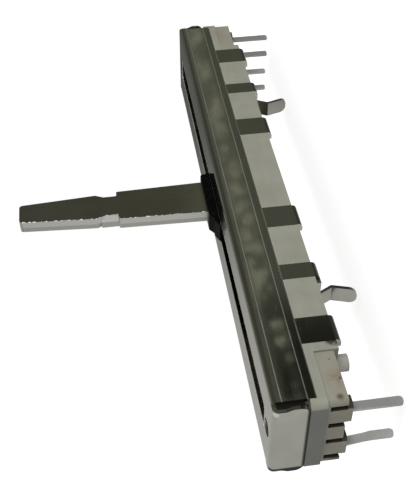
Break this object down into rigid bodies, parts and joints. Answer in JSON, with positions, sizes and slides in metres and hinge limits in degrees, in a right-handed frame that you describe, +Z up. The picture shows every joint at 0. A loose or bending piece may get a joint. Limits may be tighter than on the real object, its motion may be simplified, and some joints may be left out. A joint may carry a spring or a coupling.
{
  "type": "slide potentiometer",
  "caption": "Low-profile slide potentiometer with a folded metal cover, a white moulded base, a long slot, a flat notched lever and solder pins.",
  "frame": {"origin": "in the plane of the circuit board's face, midway along and across the body", "axes": "+X along the travel towards the end with four terminals, +Z up along the lever, -Y towards the side with the snap legs"},
  "size_m": [0.06, 0.009, 0.0317],
  "materials": {
    "cover_steel": "bright nickel plate on cold rolled steel",
    "base_plastic": "off-white moulded plastic with a soft sheen",
    "element_laminate": "brown phenolic laminate",
    "carbon_print": "printed carbon film",
    "silver_print": "printed silver film",
    "slider_plastic": "black moulded acetal",
    "lever_steel": "blanked steel, nickel plated, sheared edges",
    "contact_bronze": "phosphor bronze strip",
    "spring_steel": "spring steel strip",
    "terminal_tin": "matt tin plate",
    "eyelet_brass": "tinned brass eyelet"
  },
  "bodies": {
    "housing": {"cover": "cover_steel", "base_moulding": "base_plastic", "element_board": "element_laminate", "carbon_track_front": "carbon_print", "carbon_track_rear": "carbon_print", "collector_track_front": "silver_print", "collector_track_rear": "silver_print", "silver_end_pads": "silver_print", "terminal_eyelets": "eyelet_brass", "terminal_near_front": "terminal_tin", "terminal_near_rear": "terminal_tin", "terminal_far_front_outer": "terminal_tin", "terminal_far_rear_outer": "terminal_tin", "terminal_far_front_inner": "terminal_tin", "terminal_far_rear_inner": "terminal_tin"},
    "slider": {"carriage": "slider_plastic", "lever": "lever_steel", "wiper_front": "contact_bronze", "wiper_rear": "contact_bronze", "friction_spring": "spring_steel"}
  },
  "joints": [
    {"name": "lever_slide", "type": "slide", "parent": "housing", "child": "slider", "axis": [1, 0, 0], "range_m": [-0.0225, 0.0225]}
  ]
}
